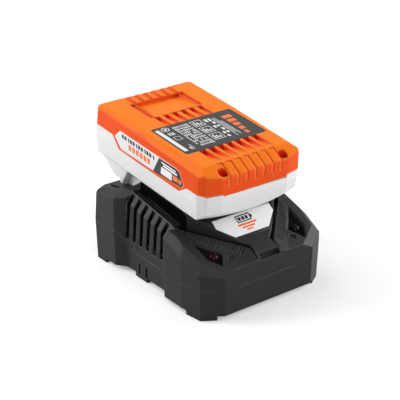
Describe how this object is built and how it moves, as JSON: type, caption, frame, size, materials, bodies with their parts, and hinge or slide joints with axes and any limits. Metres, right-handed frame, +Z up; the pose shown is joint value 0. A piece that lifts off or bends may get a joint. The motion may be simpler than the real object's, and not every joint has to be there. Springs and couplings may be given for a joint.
{
  "type": "power tool battery charger",
  "caption": "Faceted bench charger with side vents, indicator lenses and a mains socket, carrying a slide-on battery pack on its sloping rails.",
  "frame": {"origin": "on the floor, under the middle of the whole set of charger and docked pack", "axes": "+X to the charger's right seen from behind its front, front faces -Y, +Z up"},
  "size_m": [0.107, 0.144, 0.1069],
  "materials": {
    "charger_plastic": "fine satin texture",
    "plate_white": "smooth",
    "lens_red": "clear tinted, polished",
    "lens_green": "clear tinted, polished",
    "inlet_black": "fine matte",
    "contact_metal": "plated",
    "insulator": "fine matte",
    "board_green": "solder mask",
    "screw_steel": "zinc plated",
    "ferrite": "sintered",
    "winding": "taped coil",
    "capacitor_sleeve": "shrink sleeve",
    "choke_wire": "enamelled wire",
    "fuse_body": "glazed",
    "sink_aluminium": "extruded",
    "chip_black": "moulded",
    "wire_sleeve": "insulation",
    "orange_plastic": "satin",
    "white_plastic": "satin",
    "label_dark": "printed film",
    "label_side": "printed film",
    "cell_wrap": "shrink sleeve",
    "holder_plastic": "moulded",
    "nickel": "nickel strip",
    "spring_steel": "drawn wire"
  },
  "bodies": {
    "charger": {"charger_top_housing": "charger_plastic", "charger_base_housing": "charger_plastic", "front_plate": "plate_white", "led_lens_red": "lens_red", "led_lens_green": "lens_green", "mains_inlet": "inlet_black", "inlet_pins": "contact_metal", "contact_block": "insulator", "contact_blades": "contact_metal", "charger_circuit_board": "board_green", "board_screws": "screw_steel", "transformer_core": "ferrite", "transformer_winding": "winding", "bulk_capacitor": "capacitor_sleeve", "output_capacitors": "capacitor_sleeve", "line_choke": "choke_wire", "fuse": "fuse_body", "heat_sink": "sink_aluminium", "power_transistors": "chip_black", "indicator_leds": "lens_red", "supply_leads": "wire_sleeve", "output_leads": "wire_sleeve", "housing_screws": "screw_steel"},
    "pack": {"pack_top_shell": "orange_plastic", "pack_lower_shell": "white_plastic", "top_label": "label_dark", "side_label_left": "label_side", "side_label_right": "label_side", "pack_cells": "cell_wrap", "cell_holder_left": "holder_plastic", "cell_holder_right": "holder_plastic", "cell_straps": "nickel", "pack_circuit_board": "board_green", "terminal_carrier": "insulator", "pack_terminals": "contact_metal", "pack_screws": "screw_steel", "release_spring": "spring_steel"},
    "button": {"release_button": "insulator"}
  },
  "joints": [
    {"name": "pack_slide", "type": "slide", "parent": "charger", "child": "pack", "axis": [0, 0.996, 0.0894], "range_m": [0, 0.1]},
    {"name": "button_press", "type": "slide", "parent": "pack", "child": "button", "axis": [0, -0.0894, 0.996], "range_m": [0, 0.0035], "stiffness_N_per_m": 300, "springref_m": -0.002, "deforming": ["release_spring"]}
  ]
}
